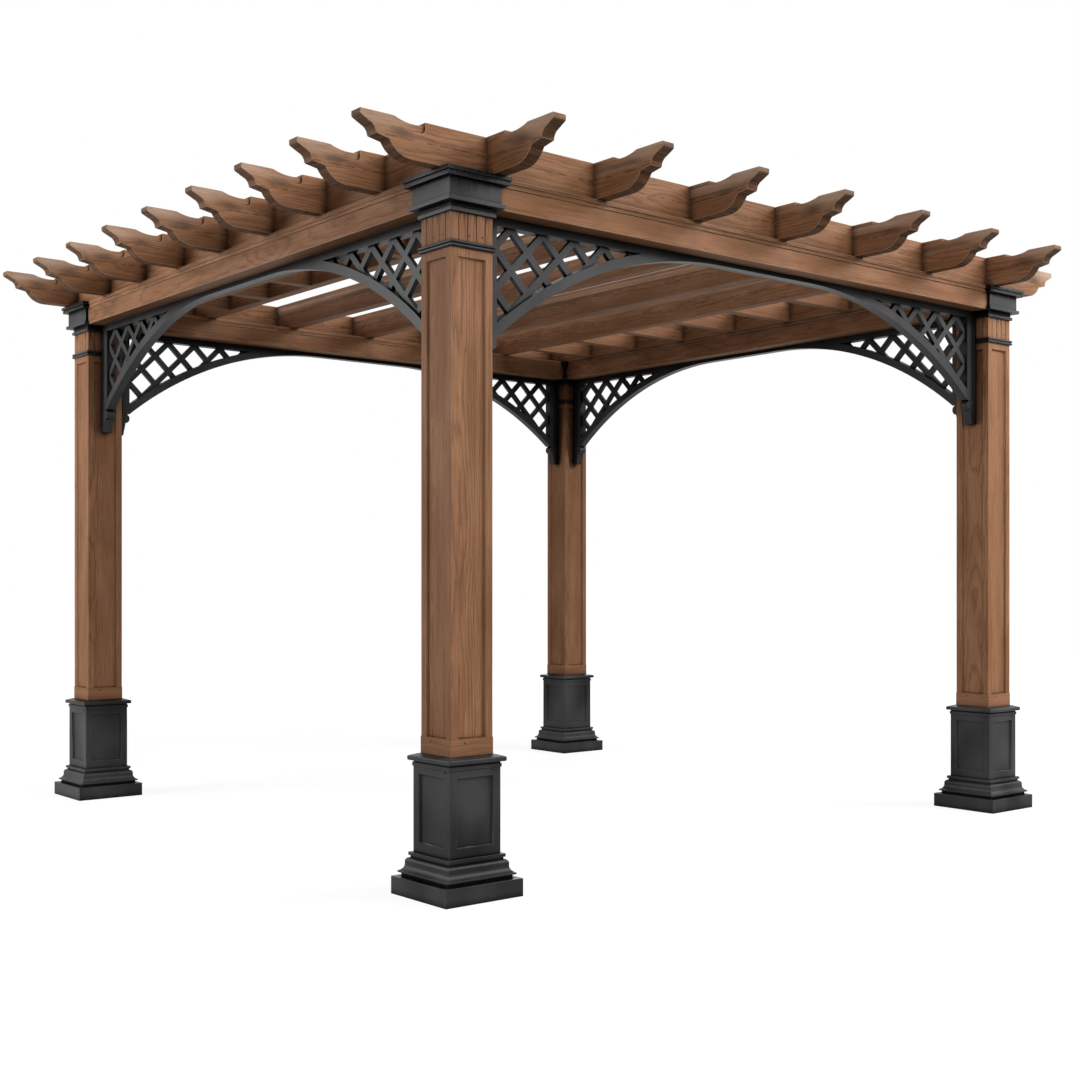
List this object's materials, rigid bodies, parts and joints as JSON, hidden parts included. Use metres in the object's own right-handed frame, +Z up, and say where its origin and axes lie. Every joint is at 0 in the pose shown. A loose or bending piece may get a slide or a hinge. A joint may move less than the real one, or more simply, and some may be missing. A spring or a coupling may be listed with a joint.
{
  "type": "wooden pergola",
  "caption": "Square open pergola with panelled timber posts on black moulded pedestals, lattice arch brackets and scrolled roof boards.",
  "frame": {"origin": "on the ground, at the centre of the four posts", "axes": "+X along the front, +Y from front to back, +Z up"},
  "size_m": [3.76, 3.72, 2.433],
  "materials": {
    "stained_cedar": "satin brown stain over planed cedar",
    "black_coated_metal": "satin black powder coat"
  },
  "bodies": {
    "root": {"post_front_left": "stained_cedar", "post_front_right": "stained_cedar", "post_back_left": "stained_cedar", "post_back_right": "stained_cedar", "beam_front": "stained_cedar", "beam_right": "stained_cedar", "beam_back": "stained_cedar", "beam_left": "stained_cedar", "beam_cap_front": "stained_cedar", "beam_cap_right": "stained_cedar", "beam_cap_back": "stained_cedar", "beam_cap_left": "stained_cedar", "rafter_1": "stained_cedar", "rafter_2": "stained_cedar", "rafter_3": "stained_cedar", "rafter_4": "stained_cedar", "rafter_5": "stained_cedar", "rafter_6": "stained_cedar", "rafter_7": "stained_cedar", "rim_front": "stained_cedar", "rim_back": "stained_cedar", "lookouts_left": "stained_cedar", "lookouts_right": "stained_cedar", "side_blocks_left": "stained_cedar", "side_blocks_right": "stained_cedar", "pedestal_front_left": "black_coated_metal", "pedestal_front_right": "black_coated_metal", "pedestal_back_left": "black_coated_metal", "pedestal_back_right": "black_coated_metal", "post_band_front_left": "black_coated_metal", "post_band_front_right": "black_coated_metal", "post_band_back_left": "black_coated_metal", "post_band_back_right": "black_coated_metal", "capital_front_left": "black_coated_metal", "capital_front_right": "black_coated_metal", "capital_back_left": "black_coated_metal", "capital_back_right": "black_coated_metal", "arch_front_left": "black_coated_metal", "arch_front_right": "black_coated_metal", "arch_right_front": "black_coated_metal", "arch_right_back": "black_coated_metal", "arch_back_right": "black_coated_metal", "arch_back_left": "black_coated_metal", "arch_left_back": "black_coated_metal", "arch_left_front": "black_coated_metal"}
  },
  "joints": []
}
